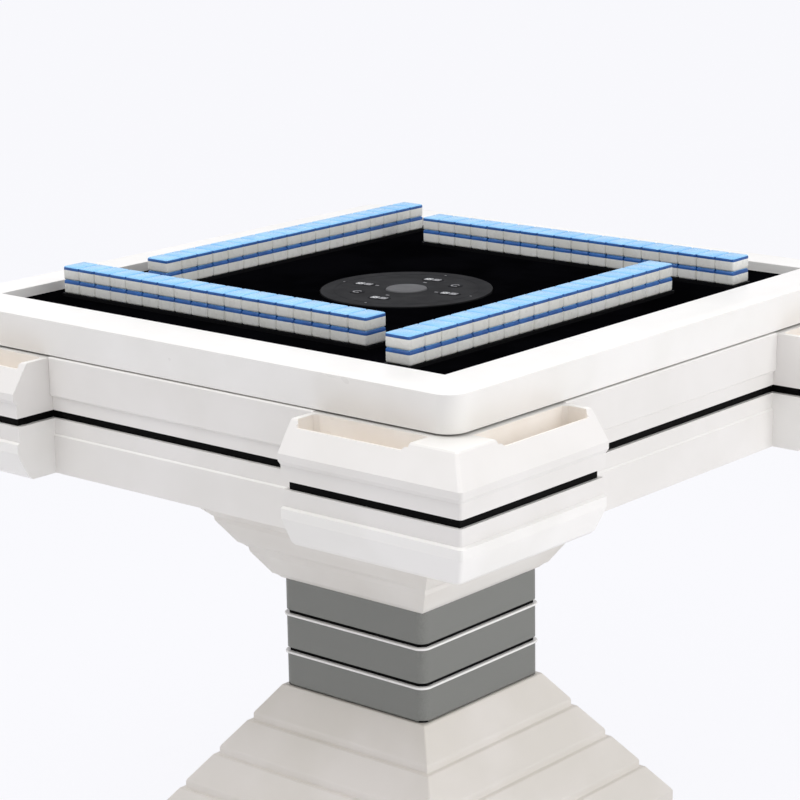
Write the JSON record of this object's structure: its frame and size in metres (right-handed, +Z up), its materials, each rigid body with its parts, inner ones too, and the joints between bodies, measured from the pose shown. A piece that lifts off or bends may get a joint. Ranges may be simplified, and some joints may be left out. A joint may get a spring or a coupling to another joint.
{
  "type": "self-shuffling mahjong table",
  "caption": "Square self-shuffling mahjong table on a stepped pedestal, with open corner trays, a rising centre console and tile walls two tiles high standing on lifts.",
  "frame": {"origin": "on the floor under the middle of the table", "axes": "+Z up; -Y is the front side and +X the right side, each square to a side of the table"},
  "size_m": [1.003, 1.003, 0.8118],
  "materials": {
    "rubber_black": "matt",
    "steel_black": "satin powder coat",
    "steel_zinc": "zinc plated",
    "pearl_plastic": "warm off-white satin",
    "taupe_plastic": "grey satin",
    "ring_plastic": "white gloss",
    "white_plastic": "white gloss",
    "black_plastic": "black",
    "board_wood": "plywood under the cloth",
    "black_cloth": "short pile",
    "drum_plastic": "dark grey",
    "console_gloss": "charcoal gloss",
    "console_cap": "grey gloss",
    "circuit_board": "green",
    "brass": "turned",
    "key_plastic": "charcoal",
    "lift_aluminium": "black anodised",
    "gear_plastic": "natural nylon",
    "tile_plastic": "white with a blue back"
  },
  "bodies": {
    "table": {"base_pads": "rubber_black", "base_plate": "steel_black", "base_cover": "pearl_plastic", "column_post": "steel_black", "post_bolts": "steel_zinc", "column_sleeve_upper": "taupe_plastic", "column_sleeve_middle": "taupe_plastic", "column_sleeve_lower": "taupe_plastic", "trim_rings": "ring_plastic", "neck_cover": "pearl_plastic", "soffit_cover": "pearl_plastic", "lower_casing": "white_plastic", "casing_core": "black_plastic", "side_panels": "white_plastic", "corner_tray_front_right": "white_plastic", "corner_tray_back_right": "white_plastic", "corner_tray_back_left": "white_plastic", "corner_tray_front_left": "white_plastic", "top_frame": "white_plastic", "table_board": "board_wood", "table_cloth": "black_cloth", "chassis_frame": "steel_black", "drum_shell": "drum_plastic", "console_sleeve": "steel_zinc", "turntable_bearing": "steel_zinc", "shuffle_motor": "steel_zinc", "console_motor": "steel_zinc", "lift_guides": "steel_zinc", "lift_motors": "steel_zinc", "control_box": "black_plastic", "power_supply": "steel_zinc", "power_inlet": "black_plastic"},
    "console": {"console_housing": "black_plastic", "console_face": "console_gloss", "console_cap": "console_cap", "console_circuit": "circuit_board", "console_stem": "steel_zinc", "console_nut": "brass"},
    "screw": {"console_screw": "steel_zinc"},
    "turntable": {"turntable": "drum_plastic"},
    "drive_wheel": {"drive_wheel": "rubber_black"},
    "rocker": {"power_rocker": "black_plastic"},
    "dice_key_front": {"dice_key_front": "key_plastic"},
    "dice_key_right": {"dice_key_right": "key_plastic"},
    "dice_key_back": {"dice_key_back": "key_plastic"},
    "dice_key_left": {"dice_key_left": "key_plastic"},
    "lift_key_left": {"lift_key_left": "key_plastic"},
    "lift_key_right": {"lift_key_right": "key_plastic"},
    "lift_front": {"lift_plate_front": "lift_aluminium", "tile_wall_front": "tile_plastic"},
    "pinion_front": {"lift_pinion_front": "gear_plastic"},
    "lift_right": {"lift_plate_right": "lift_aluminium", "tile_wall_right": "tile_plastic"},
    "pinion_right": {"lift_pinion_right": "gear_plastic"},
    "lift_back": {"lift_plate_back": "lift_aluminium", "tile_wall_back": "tile_plastic"},
    "pinion_back": {"lift_pinion_back": "gear_plastic"},
    "lift_left": {"lift_plate_left": "lift_aluminium", "tile_wall_left": "tile_plastic"},
    "pinion_left": {"lift_pinion_left": "gear_plastic"}
  },
  "joints": [
    {"name": "console_rise", "type": "slide", "parent": "table", "child": "console", "axis": [0, 0, 1], "range_m": [0, 0.06]},
    {"name": "screw_turn", "type": "hinge", "parent": "table", "child": "screw", "pos_m": [0, 0, 0.613], "axis": [0, 0, 1], "range_deg": [-2702, 2]},
    {"name": "dice_key_front_press", "type": "slide", "parent": "console", "child": "dice_key_front", "axis": [0, 0, -1], "range_m": [0, 0.0009], "stiffness_N_per_m": 600, "springref_m": -0.001},
    {"name": "dice_key_right_press", "type": "slide", "parent": "console", "child": "dice_key_right", "axis": [0, 0, -1], "range_m": [0, 0.0009], "stiffness_N_per_m": 600, "springref_m": -0.001},
    {"name": "dice_key_back_press", "type": "slide", "parent": "console", "child": "dice_key_back", "axis": [0, 0, -1], "range_m": [0, 0.0009], "stiffness_N_per_m": 600, "springref_m": -0.001},
    {"name": "dice_key_left_press", "type": "slide", "parent": "console", "child": "dice_key_left", "axis": [0, 0, -1], "range_m": [0, 0.0009], "stiffness_N_per_m": 600, "springref_m": -0.001},
    {"name": "lift_key_left_press", "type": "slide", "parent": "console", "child": "lift_key_left", "axis": [0, 0, -1], "range_m": [0, 0.0009], "stiffness_N_per_m": 600, "springref_m": -0.001},
    {"name": "lift_key_right_press", "type": "slide", "parent": "console", "child": "lift_key_right", "axis": [0, 0, -1], "range_m": [0, 0.0009], "stiffness_N_per_m": 600, "springref_m": -0.001},
    {"name": "lift_front_travel", "type": "slide", "parent": "table", "child": "lift_front", "axis": [0, 0, 1], "range_m": [-0.056, 0]},
    {"name": "lift_right_travel", "type": "slide", "parent": "table", "child": "lift_right", "axis": [0, 0, 1], "range_m": [-0.056, 0]},
    {"name": "lift_back_travel", "type": "slide", "parent": "table", "child": "lift_back", "axis": [0, 0, 1], "range_m": [-0.056, 0]},
    {"name": "lift_left_travel", "type": "slide", "parent": "table", "child": "lift_left", "axis": [0, 0, 1], "range_m": [-0.056, 0]},
    {"name": "pinion_front_turn", "type": "hinge", "parent": "table", "child": "pinion_front", "pos_m": [-0.0626, -0.2814, 0.662], "axis": [0, 1, 0], "range_deg": [-202, 2]},
    {"name": "pinion_right_turn", "type": "hinge", "parent": "table", "child": "pinion_right", "pos_m": [0.2814, -0.0626, 0.662], "axis": [-1, 0, 0], "range_deg": [-202, 2]},
    {"name": "pinion_back_turn", "type": "hinge", "parent": "table", "child": "pinion_back", "pos_m": [0.0626, 0.2814, 0.662], "axis": [0, -1, 0], "range_deg": [-202, 2]},
    {"name": "pinion_left_turn", "type": "hinge", "parent": "table", "child": "pinion_left", "pos_m": [-0.2814, 0.0626, 0.662], "axis": [1, 0, 0], "range_deg": [-202, 2]},
    {"name": "turntable_turn", "type": "hinge", "parent": "table", "child": "turntable", "pos_m": [0, 0, 0.6263], "axis": [0, 0, 1], "continuous": true},
    {"name": "drive_wheel_turn", "type": "hinge", "parent": "table", "child": "drive_wheel", "pos_m": [0.1397, 0, 0.61], "axis": [0, 0, 1], "continuous": true},
    {"name": "power_rocker_tip", "type": "hinge", "parent": "table", "child": "rocker", "pos_m": [-0.295, 0.448, 0.5755], "axis": [0, 1, 0], "range_deg": [-16, 0]}
  ],
  "couplings": [
    {"joint": "screw_turn", "follows": "console_rise", "rad_per_m": -785.4},
    {"joint": "pinion_front_turn", "follows": "lift_front_travel", "rad_per_m": 62.5},
    {"joint": "pinion_right_turn", "follows": "lift_right_travel", "rad_per_m": 62.5},
    {"joint": "pinion_back_turn", "follows": "lift_back_travel", "rad_per_m": 62.5},
    {"joint": "pinion_left_turn", "follows": "lift_left_travel", "rad_per_m": 62.5},
    {"joint": "drive_wheel_turn", "follows": "turntable_turn", "ratio": 8}
  ]
}
